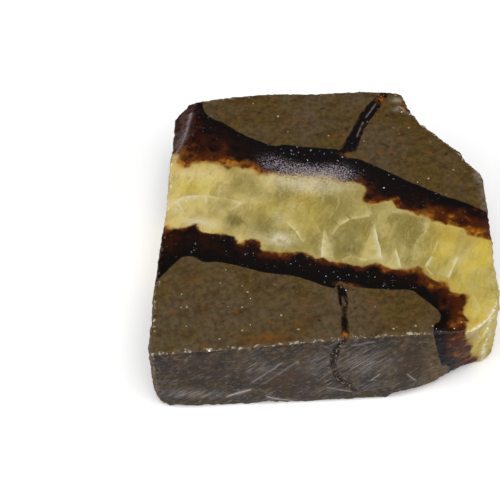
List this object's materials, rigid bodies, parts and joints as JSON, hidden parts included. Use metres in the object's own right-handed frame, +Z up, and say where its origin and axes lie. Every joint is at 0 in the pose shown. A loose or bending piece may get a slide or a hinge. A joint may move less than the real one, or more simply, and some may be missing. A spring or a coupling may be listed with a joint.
{
  "type": "septarian nodule slab",
  "caption": "Thick sawn slab of a septarian nodule, flat above and below, with dark-rimmed yellow calcite veins in grey-brown mudstone; rests on its flat underside.",
  "frame": {"origin": "middle of the flat underside, at the middle of the slab's bounding box", "axes": "+Z up through the slab's thickness, -Y towards the sawn front face, +X to the viewer's right when the front face is seen"},
  "size_m": [0.0434, 0.043, 0.0139],
  "materials": {
    "septarian_stone": "satin"
  },
  "bodies": {
    "root": {"septarian_nodule": "septarian_stone"}
  },
  "joints": []
}
